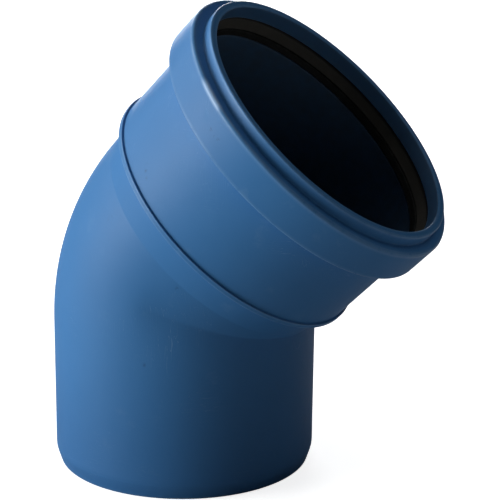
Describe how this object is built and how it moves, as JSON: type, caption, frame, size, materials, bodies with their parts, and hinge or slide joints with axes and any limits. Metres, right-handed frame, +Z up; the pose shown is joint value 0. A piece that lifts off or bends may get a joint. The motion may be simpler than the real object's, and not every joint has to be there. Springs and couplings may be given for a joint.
{
  "type": "push-fit pipe elbow",
  "caption": "Push-fit 45 degree elbow for 110 mm pipe: plain tapered spigot at one end, ring-seal socket with a capped mouth at the other.",
  "frame": {"origin": "centre of the spigot's end, on the spigot axis, where the spigot bore opens", "axes": "+Z runs up the spigot axis, away from the end it stands on. The socket leans towards +X at 45 degrees and its axis lies in the XZ plane. Y is across the part."},
  "size_m": [0.1632, 0.1294, 0.1926],
  "materials": {
    "body_plastic": "satin moulded blue, fine scuffs",
    "cap_plastic": "satin moulded blue, slightly worn edges",
    "seal_rubber": "matt black moulded rubber",
    "ring_plastic": "matt brownish black"
  },
  "bodies": {
    "root": {"elbow_body": "body_plastic", "retaining_cap": "cap_plastic", "lip_seal": "seal_rubber", "seal_support_ring": "ring_plastic"}
  },
  "joints": []
}
